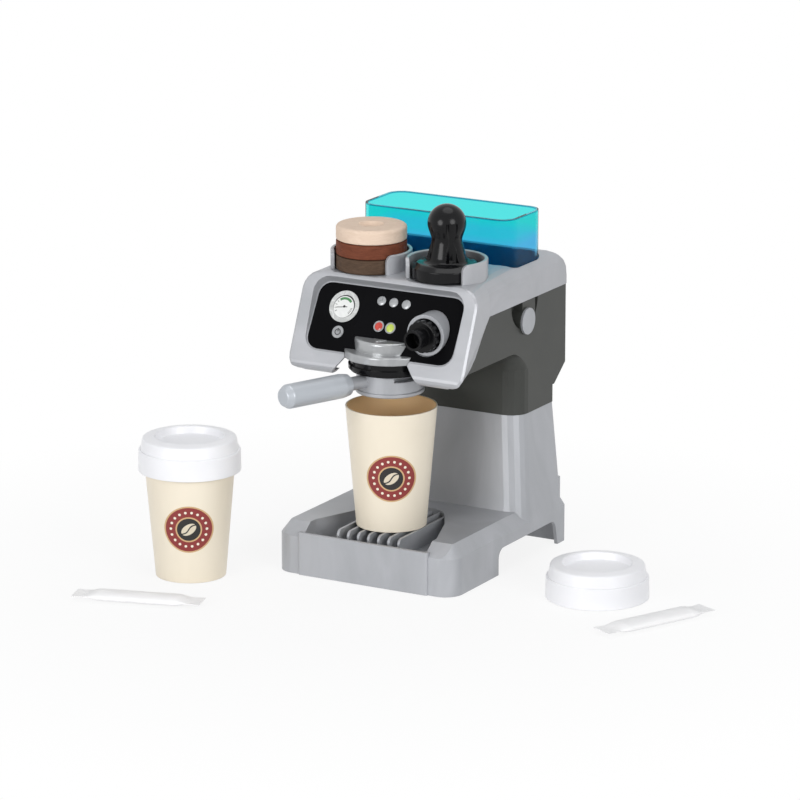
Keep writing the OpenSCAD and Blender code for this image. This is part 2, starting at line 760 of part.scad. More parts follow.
module hood() {
    pw = panel_w + panel_frame;
    ph = panel_h + panel_frame;
    pr = panel_r + panel_frame / 2;
    rim = panel_draft + wall;
    color(silver)
    difference() {
        union() {
            difference() {
                union() {
                    hood_form(0);
                    mask_flare();
                }
                hood_form(wall);
            }
            intersection() {
                hood_form(1);
                union() {
                    // Sunk seat of the panel label
                    on_panel() translate([0, 0, -wall]) linear_extrude(panel_deep + wall)
                        panel_outline(pw + 2 * rim, ph + 2 * rim, pr + rim);
                    // Floors of the wells
                    for (sx = [-1, 1]) translate([sx * well_x, well_y, well_floor_z - wall])
                        cylinder(r = well_out_r + well_wall, h = hood_top_z - well_floor_z + wall);
                    // Pocket of the water tank
                    translate([0, 0, tank_z - wall - gap]) linear_extrude(tank_sunk + wall + gap)
                        tank_plan(tank_play + wall);
                    for (p = hood_front_xy) translate([p.x, p.y, head_under_z + shell_wall + seat])
                        cylinder(r = boss_r, h = hood_top_z - head_under_z);
                    for (p = hood_back_xy) translate([p.x, p.y, back_seat_z + back_seat_t + seat])
                        cylinder(r = boss_r, h = hood_top_z - back_seat_z);
                }
            }
        }
        on_panel() hull() {
            linear_extrude(0.01) panel_outline(pw, ph, pr);
            translate([0, 0, panel_deep]) linear_extrude(0.01)
                panel_outline(pw + 2 * panel_draft, ph + 2 * panel_draft, pr + panel_draft);
        }
        for (sx = [-1, 1]) translate([sx * well_x, well_y, well_floor_z]) cylinder(r = well_out_r + seat, h = 30);
        translate([0, 0, tank_z - gap]) linear_extrude(tank_sunk + 5) tank_plan(tank_play);
        group_space();
        mouth();
        on_knob(knob_y + 30) cylinder(r = ring_boss_r + fit, h = 60);
        for (p = hood_front_xy) translate([p.x, p.y, head_under_z]) cylinder(r = screw_r, h = screw_l + 3);
        for (p = hood_back_xy) translate([p.x, p.y, back_seat_z + back_seat_t - 1]) cylinder(r = screw_r, h = screw_l);
    }
}

module panel_label() {
    color(black)
    difference() {
        on_panel() translate([0, 0, 0.02]) linear_extrude(panel_t) panel_outline(panel_w, panel_h, panel_r);
        group_space();
        on_knob(knob_y + 30) cylinder(r = ring_boss_r + fit, h = 60);
    }
}

module group_head() {
    color(silver)
    difference() {
        union() {
            translate(brew + [0, 0, group_z]) rotate_extrude()
                polygon(rounded([[0, 0], [group_r, 0], [group_r, group_low_t], [group_top_r, group_low_t],
                                 [group_top_r, group_low_t + group_high_t], [0, group_low_t + group_high_t]],
                                [0, 0.8, 1.2, 0, 1.8, 0]));
            translate([-tab_x, brew_y, group_z]) cube([2 * tab_x, tab_y - brew_y, tab_t]);
            for (p = group_screw_xy) translate([p.x, p.y, head_under_z + shell_wall + seat])
                cylinder(r = boss_r, h = group_z + tab_t + 6 - head_under_z - shell_wall);
            // Raised arrow on top
            translate(brew + [0, -16, group_top_z + group_high_t - eps])
                linear_extrude(eps + 0.6) polygon([[-5, 3], [5, 3], [0, -3]]);
        }
        for (p = group_screw_xy) translate([p.x, p.y, head_under_z]) cylinder(r = screw_r, h = screw_l + 2);
    }
}

module group_collar() {
    color(black)
    translate(brew + [0, 0, collar_z])
        rotate_extrude()
            polygon([[ring_body_r + gap, 0], [collar_r, 0], [collar_r, 1.6], [collar_lip_r, 1.6],
                     [collar_lip_r, 1.6 + collar_lip_h - gap], [collar_r, 1.6 + collar_lip_h - gap],
                     [collar_r, collar_h], [ring_r + gap, collar_h],
                     [ring_r + gap, ring_h - ring_flange_h], [ring_body_r + gap, ring_h - ring_flange_h]]);
}

// Turns with the filter holder inside the collar
module lock_ring() {
    color(black)
    difference() {
        translate(brew + [0, 0, ring_z])
            rotate_extrude()
                polygon([[ring_bore_r, 0], [ring_body_r, 0], [ring_body_r, ring_h - ring_flange_h],
                         [ring_r, ring_h - ring_flange_h], [ring_r, ring_h], [ring_bore_r, ring_h]]);
        translate(brew + [0, 0, ring_z - eps]) handle_keys(spigot_r + key_t + gap, key_w + 2 * gap, ring_h + 2 * eps);
    }
}

module handle_keys(r, w, h) {
    intersection() {
        cylinder(r = r, h = h);
        translate([-r, -w / 2, 0]) cube([2 * r, w, h]);
    }
}

// Turns its children to point forward along the handle, z along the handle
module on_handle(d) {
    translate([0, brew_y, grip_z]) rotate([0, 0, -handle_angle]) translate([0, -d, 0]) rotate([90, 0, 0]) children();
}

module filter_holder() {
    step_h = 3.5;
    color(silver)
    difference() {
        union() {
            difference() {
                translate(brew + [0, 0, holder_z]) rotate_extrude()
                    polygon(rounded([[0, 0], [holder_r + 0.8, 0], [holder_r + 0.8, 2.4], [holder_r, 3],
                                     [holder_r, holder_h], [0, holder_h]], [0, 1, 0.4, 0, 0.6, 0]));
                // Lowered stretches of the rim
                for (a = [0, 180]) translate(brew + [0, 0, holder_rim_z - step_h]) rotate([0, 0, a - 53])
                    rotate_extrude(angle = 62) polygon(box_points(spigot_r - eps, 0, holder_r + 2, step_h + 1));
            }
            on_handle(spigot_r) cylinder(r = neck_r, h = grip_start - spigot_r);
            on_handle(grip_start - 1) cylinder(r = grip_pin_r, h = grip_pin_l);
        }
        translate(brew + [0, 0, holder_z + wall]) cylinder(r = spigot_r + seat, h = holder_h);
    }
}

// Stands on the holder's floor, and its two keys turn the lock ring
module filter_basket() {
    foot_z = holder_z + wall + seat;
    color(silver)
    difference() {
        union() {
            translate(brew + [0, 0, foot_z]) cylinder(r = spigot_r, h = spigot_top_z - foot_z);
            translate(brew + [0, 0, holder_rim_z + seat])
                handle_keys(spigot_r + key_t, key_w, spigot_top_z - holder_rim_z - seat);
        }
        translate(brew + [0, 0, holder_z]) cylinder(r = basket_r, h = spigot_top_z - holder_z + eps);
    }
}

module holder_grip() {
    color(silver)
    difference() {
        on_handle(grip_start + seat) rotate_extrude()
            polygon(rounded([[0, 0], [grip_r - 1, 0], [grip_r, 6], [grip_r, grip_l - 4], [grip_r - 2.5, grip_l], [0, grip_l]],
                            [0, 0.8, 3, 3, 1.5, 0]));
        on_handle(grip_start - 1) cylinder(r = grip_pin_r + seat, h = grip_pin_l + seat);
    }
}

module knob_ring() {
    color(silver)
    difference() {
        on_knob(ring_back_y) cylinder(r = ring_boss_r, h = ring_back_y - ring_front_y);
        on_knob(ring_front_y + ring_bowl_t) cylinder(r = ring_bowl_r, h = ring_bowl_t + eps);
        on_knob(ring_back_y + eps) cylinder(r = ring_bowl_r, h = ring_back_y + eps - ring_front_y - ring_bowl_t - ring_web_t);
        on_knob(ring_back_y) cylinder(r = shaft_r + run, h = ring_back_y - ring_front_y);
    }
}

module knob() {
    flutes = 14;
    color(black)
    difference() {
        union() {
            on_knob(knob_back_y) cylinder(r = shaft_r, h = knob_back_y - knob_seat_y + eps);
            on_knob(knob_seat_y) rotate_extrude()
                polygon(rounded([[0, 0], [knob_d / 2, 0], [knob_d / 2, knob_l], [0, knob_l]], [0, 0.6, 1.2, 0]));
            on_knob(knob_seat_y - knob_l + eps) cylinder(d = tube_d, h = tube_l + eps);
        }
        for (k = [0:flutes - 1])
            on_knob(knob_seat_y + eps) rotate([0, 0, k * 360 / flutes]) translate([knob_d / 2 + 0.9, 0, 0])
                cylinder(r = 1.7, h = knob_l + 2 * eps);
        on_knob(knob_seat_y - knob_l) cylinder(d = tube_bore, h = tube_l + eps);
        on_knob(knob_back_y + eps) cylinder(r = screw_r, h = screw_l);
    }
}

module screw(l) {
    cylinder(r = head_r, h = head_t);
    translate([0, 0, head_t - eps]) cylinder(r = screw_r, h = l + eps);
}

module knob_screw() {
    washer_t = 1;
    color([0.75, 0.75, 0.78]) {
        on_knob(knob_back_y + washer_t) cylinder(r = shaft_r + 3, h = washer_t);
        on_knob(knob_back_y + washer_t + head_t) screw(screw_l - 1);
    }
}

module side_disc(sx) {
    color(silver)
        translate([sx * (body_x + disc_out + disc_t / 2), side_y, disc_z]) rotate([0, 90, 0])
            cylinder(d = disc_d, h = disc_t, center = true);
}

module screws(places, z, l) {
    color([0.75, 0.75, 0.78]) for (p = places) translate([p.x, p.y, z - head_t]) screw(l);
}

module base_screws() {
    screws(base_screw_xy, col_top_z - plate_t, screw_l + 1);
}

module hood_screws() {
    screws(hood_front_xy, head_under_z, screw_l + 2);
    screws(hood_back_xy, back_seat_z, screw_l);
}

module group_screws() {
    screws(group_screw_xy, head_under_z, screw_l);
}

module tank_plan(g) {
    x = tank_w / 2 + g;
    y = tank_d / 2 + g;
    r = tank_r + g;
    translate([0, tank_y]) polygon(rounded(box_points(-x, -y, x, y), [r, r, r, r]));
}

module water_tank() {
    color([0.0, 0.78, 0.80, 0.6])
    difference() {
        translate([0, 0, tank_z]) linear_extrude(tank_h) tank_plan(0);
        translate([0, 0, tank_z + tank_wall]) linear_extrude(tank_h) tank_plan(-tank_wall);
    }
}

// One pod of the stack; the first rests on the well's floor
module pod(k, dimple) {
    translate([-well_x, well_y, well_floor_z + gap + k * (pod_t + gap)])
        rotate_extrude()
            polygon(rounded(concat(dimple ? [[0, pod_t - 2.8], [6, pod_t - 2.8], [8.8, pod_t]] : [[0, pod_t]],
                                   [[pod_r, pod_t], [pod_r, 0], [0, 0]]),
                            dimple ? [0, 1, 1, 2.2, 1.2, 0] : [0, 1.2, 1.2, 0]));
}

module pod_bottom() { color([0.36, 0.30, 0.25]) pod(0, false); }
module pod_middle() { color([0.49, 0.27, 0.20]) pod(1, false); }
module pod_top() { color([0.91, 0.82, 0.74]) pod(2, true); }

module tamper() {
    foot_h = 11;
    ball_z = tamper_h - tamper_ball_r;
    // The neck's cone touches the ball this many degrees below its middle
    touch = 20;
    touch_r = tamper_ball_r * cos(touch);
    touch_z = ball_z - tamper_ball_r * sin(touch);
    neck_z = touch_z - (touch_r - tamper_neck_r) / tan(touch);
    flute_r = 4.6;
    color(black)
    translate([well_x, well_y, well_floor_z + gap])
        difference() {
            rotate_extrude() {
                polygon(rounded([[0, 0], [tamper_r, 0], [tamper_r, foot_h - 3], [tamper_r - 4, foot_h], [14, foot_h + 0.6],
                                 [tamper_neck_r, neck_z], [touch_r, touch_z], [0, ball_z]],
                                [0, 1.5, 1, 4, 5, 8, 0, 0]));
                intersection() {
                    translate([0, ball_z]) circle(tamper_ball_r);
                    translate([0, ball_z - tamper_ball_r]) square(2 * tamper_ball_r);
                }
            }
            for (a = [45:90:315]) rotate([0, 0, a]) translate([tamper_ball_r + 1.2, 0, foot_h + 1.5])
                rotate([0, 0, 15]) cylinder(r = flute_r, h = ball_z - foot_h, $fn = 12);
        }
}

// A cup with its foot at the origin
module cup() {
    slope = (cup_r - cup_foot_r) / cup_h;
    color(cream)
    rotate_extrude()
        polygon([[0, 2], [cup_foot_r - cup_wall, 2], [cup_foot_r - cup_wall, 0], [cup_foot_r, 0], [cup_r, cup_h],
                 [cup_r - cup_wall, cup_h], [cup_foot_r - cup_wall + 3.5 * slope, 3.5], [0, 3.5]]);
}

module tray_cup() { translate([0, brew_y + 2, fin_top_z + gap]) cup(); }
module takeaway_cup() { translate(cup_slot) cup(); }

// A lid with the skirt's edge at the origin: skirt, drum and a sunk top, with a ledge for the cup's rim
module lid() {
    step_z = lid_h - 9;
    drum_r = lid_r - 1.7;
    edge_r = drum_r - 1.2;
    sunk_r = edge_r - 8.6;
    sunk_z = lid_h - 5;
    color(clear_white)
    rotate_extrude()
        polygon([[lid_r - lid_wall, 0], [lid_r, 0], [lid_r - 0.3, step_z - 0.8], [lid_r - 0.8, step_z],
                 [drum_r, step_z], [edge_r, lid_h - 2.2], [edge_r - 0.5, lid_h - 1.4], [edge_r - 1.5, lid_h - 1],
                 [sunk_r + 1, lid_h], [sunk_r, lid_h - 0.4], [sunk_r - 1.5, sunk_z], [0, sunk_z],
                 [0, sunk_z - lid_wall], [sunk_r - 0.6, sunk_z - lid_wall], [sunk_r + 1, lid_h - lid_wall - 0.3],
                 [edge_r - 2, lid_h - lid_wall - 1], [edge_r - lid_wall, lid_h - 3], [drum_r - lid_wall, step_z - lid_wall],
                 [lid_r - 0.4 - lid_wall, step_z - lid_wall], [lid_r - 0.3 - lid_wall, lid_skirt_h + lid_wall],
                 [cup_r - 1.5, lid_skirt_h + lid_wall], [cup_r - 1.5, lid_skirt_h],
                 [lid_r - 0.2 - lid_wall, lid_skirt_h]]);
}

module cup_lid() { translate([cup_slot.x, cup_slot.y, lid_seat_z]) lid(); }
module loose_lid() { translate(lid_spot) lid(); }

// Sachet along X, lying on the table
module sachet() {
    fill_l = sachet_l - 2 * crimp_l;
    edge = 0.6;
    color([0.95, 0.95, 0.94])
    translate([0, 0, sachet_t / 2]) {
        hull() for (sx = [-1, 1]) {
            translate([sx * (fill_l / 2 - 6), 0, 0]) pillow_slice(sachet_w - 3, sachet_t);
            translate([sx * fill_l / 2 - edge / 2, -sachet_w / 2, -edge / 2]) cube([edge, sachet_w, edge]);
        }
        translate([-sachet_l / 2, -sachet_w / 2, -edge / 2]) cube([sachet_l, sachet_w, edge]);
    }
}

module pillow_slice(w, t) {
    rotate([0, 90, 0]) linear_extrude(0.2)
        polygon([for (k = [0:11]) [t / 2 * cos(k * 30), w / 2 * sin(k * 30)]]);
}

module sachet_at(k) {
    s = sachet_spots[k];
    translate([s[0], s[1], 0]) rotate([0, 0, s[2]]) sachet();
}

base();
drip_grill();
body_shell();
hood();
well_collar(-1);  // well_left
well_collar(1);  // well_right
panel_label();
group_head();
group_collar();
knob_ring();
side_disc(-1);  // side_disc_left
side_disc(1);  // side_disc_right
base_screws();
hood_screws();
group_screws();
water_tank();
pod_bottom();
pod_middle();
pod_top();
tamper();
knob();
knob_screw();
lock_ring();
filter_holder();
filter_basket();
holder_grip();
tray_cup();
takeaway_cup();
cup_lid();
loose_lid();
sachet_at(0);  // sachet_left
sachet_at(1);  // sachet_right
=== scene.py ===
import math

import bpy
from mathutils import Matrix, Vector


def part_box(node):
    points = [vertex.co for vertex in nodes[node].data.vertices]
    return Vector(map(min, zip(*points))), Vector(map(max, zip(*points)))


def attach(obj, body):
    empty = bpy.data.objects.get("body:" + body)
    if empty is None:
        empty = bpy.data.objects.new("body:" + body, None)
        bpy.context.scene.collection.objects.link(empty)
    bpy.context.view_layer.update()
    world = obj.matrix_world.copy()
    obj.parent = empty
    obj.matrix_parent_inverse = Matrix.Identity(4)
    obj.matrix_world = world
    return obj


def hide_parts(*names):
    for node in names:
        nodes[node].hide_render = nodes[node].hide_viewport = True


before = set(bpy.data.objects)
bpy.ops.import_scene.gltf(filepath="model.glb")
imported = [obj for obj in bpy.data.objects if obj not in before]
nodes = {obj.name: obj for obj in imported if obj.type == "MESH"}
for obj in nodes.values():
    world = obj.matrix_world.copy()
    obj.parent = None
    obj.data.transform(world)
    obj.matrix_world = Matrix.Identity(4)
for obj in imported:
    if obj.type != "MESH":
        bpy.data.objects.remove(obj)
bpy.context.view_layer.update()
bpy.ops.object.select_all(action="DESELECT")


# ---- Camera, lamps and floor
# A long lens stands at the front right, a little above the hood. Large soft
# lamps light both sides, and the floor and the world show as white.
camera_turn = math.radians(29.543)
camera_drop = math.radians(14.838)
bpy.ops.object.camera_add(
    location=(1.5292, -2.6474, 0.9381),
    rotation=(math.pi / 2 - camera_drop, 0, camera_turn),
)
camera = bpy.context.object
camera.name = "camera"
camera.data.sensor_width = 36
camera.data.lens = 214.33
camera.data.clip_end = 60
bpy.context.scene.camera = camera
bpy.context.scene.view_settings.view_transform = "Standard"


def soft_lamp(name, place, aim, width, power):
    """A round soft lamp at a place, turned towards a point of the toy."""
    bpy.ops.object.light_add(type="AREA", location=place)
    lamp = bpy.context.object
    lamp.name = name
    lamp.data.shape = "DISK"
    lamp.data.size = width
    lamp.data.energy = power
    lamp.rotation_euler = (Vector(aim) - Vector(place)).to_track_quat("-Z", "Y").to_euler()


soft_lamp("lamp_front_left", place=(-0.45, -2.2, 0.62), aim=(0, 0.05, 0.12), width=1.2, power=23)
soft_lamp("lamp_right", place=(2.0, -0.9, 0.85), aim=(0, 0.08, 0.12), width=1.2, power=20)
soft_lamp("lamp_top", place=(0.1, 0.2, 2.1), aim=(0, 0.05, 0.1), width=1.6, power=12)


def white_where_seen(tree):
    """1 for rays that look at, reflect or pass to a surface, and 0 for light on the object."""
    rays = tree.nodes.new("ShaderNodeLightPath")
    seen = rays.outputs["Is Camera Ray"]
    for way in ("Is Glossy Ray", "Is Transmission Ray"):
        both = tree.nodes.new("ShaderNodeMath")
        both.operation = "MAXIMUM"
        tree.links.new(seen, both.inputs[0])
        tree.links.new(rays.outputs[way], both.inputs[1])
        seen = both.outputs[0]
    return seen


studio = bpy.data.worlds.new("studio")
bpy.context.scene.world = studio
studio.use_nodes = True
sky = studio.node_tree
soft_sky = sky.nodes["Background"]
soft_sky.inputs["Color"].default_value = (0.95, 0.97, 1.0, 1)
soft_sky.inputs["Strength"].default_value = 0.32
white_sky = sky.nodes.new("ShaderNodeBackground")
white_sky.inputs["Color"].default_value = (1, 1, 1, 1)
sky_mix = sky.nodes.new("ShaderNodeMixShader")
sky.links.new(white_where_seen(sky), sky_mix.inputs[0])
sky.links.new(soft_sky.outputs[0], sky_mix.inputs[1])
sky.links.new(white_sky.outputs[0], sky_mix.inputs[2])
sky.links.new(sky_mix.outputs[0], sky.nodes["World Output"].inputs["Surface"])

# The table lies a hair under the feet, so that the two never share a plane
table_drop = 0.0004
bpy.ops.mesh.primitive_plane_add(size=40, location=(0, 0, -table_drop))
table_top = bpy.context.object
table_top.name = "table_top"
bpy.ops.object.transform_apply(location=True, rotation=True, scale=True)
paper = bpy.data.materials.new("white_paper")
paper.use_nodes = True
paper_tree = paper.node_tree
paper_shader = paper_tree.nodes["Principled BSDF"]
paper_shader.inputs["Base Color"].default_value = (0.88, 0.88, 0.88, 1)
paper_shader.inputs["Roughness"].default_value = 0.9
glow = paper_tree.nodes.new("ShaderNodeEmission")
paper_mix = paper_tree.nodes.new("ShaderNodeMixShader")
share = paper_tree.nodes.new("ShaderNodeMath")
share.operation = "MULTIPLY"
# Near the toy the paper keeps its shadow, and farther out it is plain white
paper_place = paper_tree.nodes.new("ShaderNodeTexCoord")
from_toy = paper_tree.nodes.new("ShaderNodeVectorMath")
from_toy.operation = "LENGTH"
paper_tree.links.new(paper_place.outputs["Object"], from_toy.inputs[0])
fade = paper_tree.nodes.new("ShaderNodeMapRange")
fade.inputs["From Min"].default_value = 0.12
fade.inputs["From Max"].default_value = 0.42
fade.inputs["To Min"].default_value = 0.86
fade.inputs["To Max"].default_value = 1.0
paper_tree.links.new(from_toy.outputs["Value"], fade.inputs["Value"])
paper_tree.links.new(fade.outputs[0], share.inputs[1])
paper_tree.links.new(white_where_seen(paper_tree), share.inputs[0])
paper_tree.links.new(share.outputs[0], paper_mix.inputs[0])
paper_tree.links.new(paper_shader.outputs[0], paper_mix.inputs[1])
paper_tree.links.new(glow.outputs[0], paper_mix.inputs[2])
paper_out = paper_tree.nodes["Material Output"]
paper_tree.links.new(paper_mix.outputs[0], paper_out.inputs["Surface"])
table_top.data.materials.append(paper)


# ---- Base with the column
# One silver moulding on two pairs of feet, with the drip basin in front and the
# column behind. The flow of the plastic shows as faint streaks of metal flake.
def moulded_plastic(name, light, dark, roughness, streak=(30, 30, 12), grain=900,
                    bump=0.05, metallic=0.0, coat=0.0, edge=0.0005, gloss=0.5):
    """Plastic with streaks between two colours, fine grain and edges rounded by the mould."""
    made = bpy.data.materials.new(name)
    made.use_nodes = True
    tree = made.node_tree
    shader = tree.nodes["Principled BSDF"]
    shader.inputs["Specular IOR Level"].default_value = gloss
    shader.inputs["Metallic"].default_value = metallic
    shader.inputs["Coat Weight"].default_value = coat
    shader.inputs["Coat Roughness"].default_value = 0.12
    place = tree.nodes.new("ShaderNodeTexCoord")
    stretch = tree.nodes.new("ShaderNodeMapping")
    stretch.inputs["Scale"].default_value = streak
    tree.links.new(place.outputs["Object"], stretch.inputs["Vector"])
    flow = tree.nodes.new("ShaderNodeTexNoise")
    flow.inputs["Scale"].default_value = 1.0
    flow.inputs["Detail"].default_value = 5
    flow.inputs["Distortion"].default_value = 1.4
    tree.links.new(stretch.outputs[0], flow.inputs["Vector"])
    tint = tree.nodes.new("ShaderNodeValToRGB")
    tint.color_ramp.elements[0].position = 0.3
    tint.color_ramp.elements[0].color = (*dark, 1)
    tint.color_ramp.elements[1].position = 0.7
    tint.color_ramp.elements[1].color = (*light, 1)
    tree.links.new(flow.outputs["Fac"], tint.inputs[0])
    tree.links.new(tint.outputs[0], shader.inputs["Base Color"])
    shine = tree.nodes.new("ShaderNodeMapRange")
    shine.inputs["To Min"].default_value = roughness - 0.05
    shine.inputs["To Max"].default_value = roughness + 0.07
    tree.links.new(flow.outputs["Fac"], shine.inputs["Value"])
    tree.links.new(shine.outputs[0], shader.inputs["Roughness"])
    speck = tree.nodes.new("ShaderNodeTexNoise")
    speck.inputs["Scale"].default_value = grain
    speck.inputs["Detail"].default_value = 2
    tree.links.new(place.outputs["Object"], speck.inputs["Vector"])
    worn = tree.nodes.new("ShaderNodeBevel")
    worn.samples = 4
    worn.inputs["Radius"].default_value = edge
    dents = tree.nodes.new("ShaderNodeBump")
    dents.inputs["Strength"].default_value = bump
    dents.inputs["Distance"].default_value = 0.0002
    tree.links.new(speck.outputs["Fac"], dents.inputs["Height"])
    tree.links.new(worn.outputs[0], dents.inputs["Normal"])
    tree.links.new(dents.outputs[0], shader.inputs["Normal"])
    return made


def finish_node(name, material):
    """A CAD node keeps its shape and gets its real finish."""
    mesh = nodes[name].data
    mesh.materials.clear()
    mesh.materials.append(material)
    mesh.polygons.foreach_set("material_index", [0] * len(mesh.polygons))


silver = moulded_plastic("silver_plastic", (0.44, 0.45, 0.475), (0.37, 0.38, 0.40), 0.36,
                         bump=0.06, metallic=0.25, gloss=0.35)
finish_node("base", silver)


# ---- Drip grill
# Seven upright fins on two cross bars lie loose in the basin. They are moulded
# in the same silver plastic.
finish_node("drip_grill", silver)


# ---- Black body
# The upper column and the underside of the head are one charcoal moulding with
# a satin skin. Screws hold it to the column and to the hood.
charcoal = moulded_plastic("charcoal_plastic", (0.058, 0.060, 0.055), (0.044, 0.046, 0.042),
                           0.40, streak=(12, 12, 12), bump=0.05, gloss=0.25)
finish_node("body_shell", charcoal)


# ---- Hood and wells
# The silver mask and the top are one thin moulding, with the seat of the label
# sunk into its sloping front. The collars of the two wells have the same finish.
hood_silver = moulded_plastic("hood_silver", (0.46, 0.465, 0.49), (0.39, 0.40, 0.42), 0.34,
                              streak=(9, 22, 22), bump=0.05, metallic=0.25, gloss=0.35)
for piece in ("hood", "well_left", "well_right"):
    finish_node(piece, hood_silver)


# ---- Panel label
# A glossy black label lies in the sunk seat. The gauge, the three domes, the two
# lamps and the switch mark are printed foils on it. The dark foil under the gauge
# face is painted shadow inside the bezel.
label_black = moulded_plastic("label_black", (0.006, 0.006, 0.007), (0.003, 0.003, 0.0035),
                              0.26, streak=(6, 6, 6), grain=300, bump=0.02, edge=0.0001,
                              gloss=0.03)
finish_node("panel_label", label_black)
# Places on the label are in millimetres: across, up the slope and out of it. Its
# skin stands 0.52 mm out of the plane that they are measured from.
mm = 0.001
panel_lean = math.radians(60)
panel_place = Matrix.Translation((0, 0.031154, 0.1737)) @ Matrix.Rotation(panel_lean, 4, "X")
label_face = 0.52


def on_label(piece, material):
    piece.data.materials.append(material)
    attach(piece, "machine")


def foil(name, x, s, radius, material, lift=0.0, thickness=0.12, hole=0.0, sides=64):
    """A round foil on the label, with an optional hole."""
    bpy.ops.object.select_all(action="DESELECT")
    middle = panel_place @ (Vector((x, s, label_face + lift + thickness / 2)) * mm)
    bpy.ops.mesh.primitive_cylinder_add(vertices=sides, radius=radius * mm, depth=thickness * mm,
                                        location=middle, rotation=(panel_lean, 0, 0))
    piece = bpy.context.object
    piece.name = name
    bpy.ops.object.transform_apply(location=True, rotation=True, scale=True)
    if hole:
        bpy.ops.mesh.primitive_cylinder_add(vertices=sides, radius=hole * mm,
                                            depth=thickness * 4 * mm,
                                            location=middle, rotation=(panel_lean, 0, 0))
        cutter = bpy.context.object
        cut = piece.modifiers.new("hole", "BOOLEAN")
        cut.object = cutter
        cut.operation = "DIFFERENCE"
        bpy.context.view_layer.objects.active = piece
        bpy.ops.object.modifier_apply(modifier="hole")
        bpy.data.objects.remove(cutter)
    rim = piece.modifiers.new("rim", "BEVEL")
    rim.width = thickness * 0.3 * mm
    rim.segments = 2
    rim.limit_method = "ANGLE"
    bpy.context.view_layer.objects.active = piece
    bpy.ops.object.modifier_apply(modifier="rim")
    piece.data.materials.clear()
    on_label(piece, material)


def print_ink(name, light, dark):
    return moulded_plastic(name, light, dark, 0.3, streak=(90, 90, 90), bump=0.01, edge=0.0001)


print_silver = moulded_plastic("print_silver", (0.42, 0.43, 0.44), (0.30, 0.31, 0.32), 0.28,
                               streak=(160, 160, 160), bump=0.02, metallic=0.4, edge=0.0001,
                               gloss=0.3)
print_white = print_ink("print_white", (0.86, 0.87, 0.85), (0.78, 0.79, 0.78))
# Dark ink for the print, also used for the painted shadow under the gauge face
dark_print_and_shadow = print_ink("dark_print_and_shadow", (0.03, 0.03, 0.032), (0.02, 0.02, 0.02))
print_green = print_ink("print_green", (0.10, 0.30, 0.12), (0.06, 0.22, 0.08))
bezel_white = moulded_plastic("bezel_white", (0.66, 0.67, 0.66), (0.50, 0.51, 0.50), 0.25,
                              streak=(120, 120, 120), bump=0.02, metallic=0.2, edge=0.0001,
                              gloss=0.3)
gauge_x, gauge_s = -33.7, 7.8
# The face sits a little down and to the left, so the dark foil under it shows as a crescent of
# painted shadow inside the bezel at the top right
face_x, face_s = gauge_x - 0.35, gauge_s - 0.35
foil("gauge_bezel", gauge_x, gauge_s, 11.15, bezel_white, thickness=0.5, hole=8.1)
foil("gauge_shade", gauge_x, gauge_s, 8.15, dark_print_and_shadow, thickness=0.1)
foil("gauge_face", face_x, face_s, 7.6, print_white, thickness=0.14)


def mark(name, x, s, length, width, turn, material, lift):
    """A thin printed bar, turned in the plane of the label."""
    ink_height, end_bevel = 0.00004, 0.00001
    bpy.ops.object.select_all(action="DESELECT")
    bpy.ops.mesh.primitive_cube_add(size=1)
    piece = bpy.context.object
    piece.name = name
    spot = Matrix.Translation(Vector((x, s, label_face + lift)) * mm)
    size = Matrix.Diagonal((length * mm, width * mm, ink_height, 1))
    piece.matrix_world = panel_place @ spot @ Matrix.Rotation(turn, 4, "Z") @ size
    bpy.ops.object.transform_apply(location=True, rotation=True, scale=True)
    ends = piece.modifiers.new("ends", "BEVEL")
    ends.width = end_bevel
    bpy.ops.object.modifier_apply(modifier="ends")
    on_label(piece, material)


def scale_mark(name, degrees, out, length, width, material):
    """A bar on the face that points to the middle of the gauge."""
    face_lift = 0.17
    turn = math.radians(degrees)
    mark(name, face_x + out * math.cos(turn), face_s + out * math.sin(turn),
         length, width, turn, material, face_lift)


# Close green bars make the arc at the top of the scale, and dark ticks go on from
# it on both sides
for bar in range(15):
    scale_mark("gauge_green_%02d" % bar, degrees=42 + bar * 6, out=6.0, length=1.7, width=0.72,
               material=print_green)
for tick in range(9):
    scale_mark("gauge_tick_%02d" % tick,
               degrees=-40 + tick * 9 if tick < 5 else 146 + (tick - 5) * 22,
               out=6.1, length=1.5, width=0.34, material=dark_print_and_shadow)
mark("gauge_needle", gauge_x - 1.8, gauge_s - 0.6, length=8.2, width=0.5,
     turn=math.radians(8), material=dark_print_and_shadow, lift=0.2)
foil("gauge_hub", gauge_x, gauge_s, 0.9, dark_print_and_shadow, lift=0.18, thickness=0.1, sides=24)
switch_s = -10.2
foil("switch_foil", gauge_x, switch_s, 4.25, print_silver, thickness=0.2)
foil("switch_ring", gauge_x, switch_s, 2.3, dark_print_and_shadow, lift=0.2, thickness=0.06, hole=1.6,
     sides=40)
mark("switch_bar", gauge_x, -8.6, length=0.6, width=2.2, turn=0, material=dark_print_and_shadow, lift=0.28)


